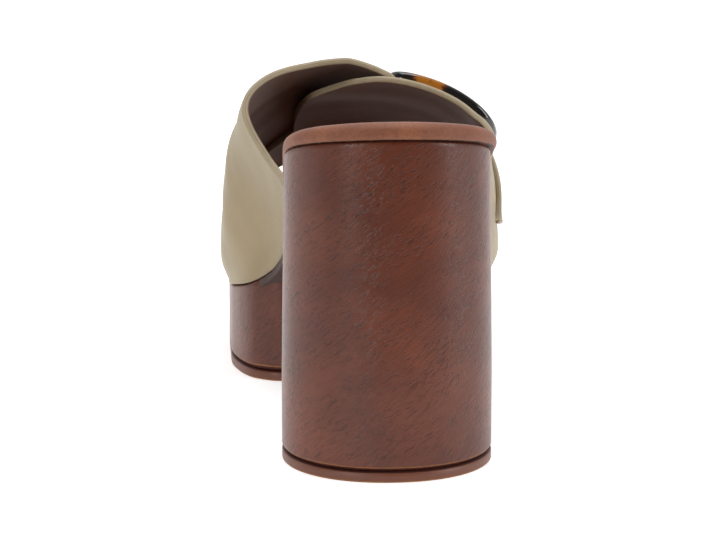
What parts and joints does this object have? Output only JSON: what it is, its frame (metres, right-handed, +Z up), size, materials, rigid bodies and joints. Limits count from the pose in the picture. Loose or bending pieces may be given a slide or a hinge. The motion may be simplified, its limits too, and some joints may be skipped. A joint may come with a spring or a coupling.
{
  "type": "platform sandal",
  "caption": "Right mule sandal on a tall round block heel and a separate forefoot platform, wood-grain wrapped, with crossing leather straps and a rectangular tortoiseshell buckle.",
  "frame": {"origin": "the middle of the heel's ground face", "axes": "+Y from heel to toe, +X to the little-toe side of this right shoe, +Z up"},
  "size_m": [0.0973, 0.238, 0.1118],
  "materials": {
    "wood_grain": "satin",
    "sole_rubber": "satin",
    "footbed_leather": "matte",
    "lining_leather": "matte",
    "strap_leather": "satin",
    "tortoiseshell": "gloss"
  },
  "bodies": {
    "root": {"heel": "wood_grain", "heel_top_piece": "sole_rubber", "platform": "wood_grain", "outsole": "sole_rubber", "footbed": "footbed_leather", "insole_board": "lining_leather", "upper": "strap_leather", "buckle": "tortoiseshell"}
  },
  "joints": []
}
